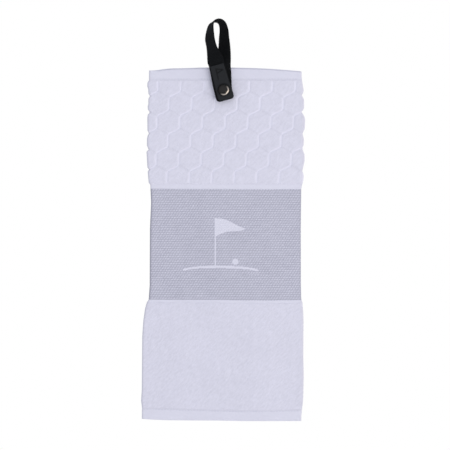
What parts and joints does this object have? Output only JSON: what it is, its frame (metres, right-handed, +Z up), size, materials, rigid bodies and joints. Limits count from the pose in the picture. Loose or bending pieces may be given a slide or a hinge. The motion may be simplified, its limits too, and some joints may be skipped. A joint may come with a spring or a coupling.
{
  "type": "golf towel",
  "caption": "Towel folded in three, with honeycomb terry, a woven band and hems, hung from a webbing loop with a snap-fastened rubber tab.",
  "frame": {"origin": "inside top of the webbing loop, where a bag ring or hook bears", "axes": "+Z up the hanging towel, -Y out of the printed-side front face towards the viewer, +X to the viewer's right"},
  "size_m": [0.1867, 0.0275, 0.4627],
  "materials": {
    "white_terry": "white looped and sheared cotton terry with a cool cast",
    "hem_cloth": "flat white woven cotton, turned and stitched",
    "grey_weave": "pale grey ribbed twill weave with a white woven motif",
    "white_thread": "white sewing thread",
    "black_webbing": "black woven nylon webbing, matt, with a toothed selvedge",
    "black_rubber": "black moulded rubber, satin",
    "dark_nickel": "dark nickel plate, polished"
  },
  "bodies": {
    "strap": {"strap_loop": "black_webbing", "snap_stud": "dark_nickel", "snap_post": "dark_nickel"},
    "snap_tab": {"tab_webbing": "black_webbing", "tab_cover": "black_rubber", "snap_cap": "dark_nickel", "snap_socket": "dark_nickel"},
    "front_panel": {"front_top_hem": "hem_cloth", "front_top_hem_thread": "white_thread", "front_honeycomb_terry": "white_terry", "front_upper_border": "hem_cloth", "front_woven_band": "grey_weave", "front_lower_border": "hem_cloth", "front_plain_terry": "white_terry", "front_bottom_hem": "hem_cloth", "front_bottom_hem_thread": "white_thread"},
    "middle_panel": {"middle_top_hem": "hem_cloth", "middle_top_hem_thread": "white_thread", "middle_honeycomb_terry": "white_terry", "middle_upper_border": "hem_cloth", "middle_woven_band": "grey_weave", "middle_lower_border": "hem_cloth", "middle_plain_terry": "white_terry", "middle_bottom_hem": "hem_cloth", "middle_bottom_hem_thread": "white_thread", "right_fold": "white_terry"},
    "rear_panel": {"rear_top_hem": "hem_cloth", "rear_top_hem_thread": "white_thread", "rear_honeycomb_terry": "white_terry", "rear_upper_border": "hem_cloth", "rear_woven_band": "grey_weave", "rear_lower_border": "hem_cloth", "rear_plain_terry": "white_terry", "rear_bottom_hem": "hem_cloth", "rear_bottom_hem_thread": "white_thread", "left_fold": "white_terry"}
  },
  "joints": [
    {"name": "towel_pivot", "type": "hinge", "parent": "strap", "child": "front_panel", "pos_m": [0.0076, 0.00495, -0.0794], "axis": [0, -1, 0], "range_deg": [-15, 15]},
    {"name": "tab_swing", "type": "hinge", "parent": "strap", "child": "snap_tab", "pos_m": [-0.00074, -0.00245, -0.04892], "axis": [-0.9646, 0, -0.2639], "range_deg": [0, 100]},
    {"name": "right_fold_hinge", "type": "hinge", "parent": "front_panel", "child": "middle_panel", "pos_m": [0.0962, 0.00665, -0.2565], "axis": [0, 0, -1], "range_deg": [0, 180], "deforming": ["right_fold"]},
    {"name": "left_fold_hinge", "type": "hinge", "parent": "middle_panel", "child": "rear_panel", "pos_m": [-0.0735, 0.01005, -0.2565], "axis": [0, 0, 1], "range_deg": [0, 180], "deforming": ["left_fold"]}
  ]
}
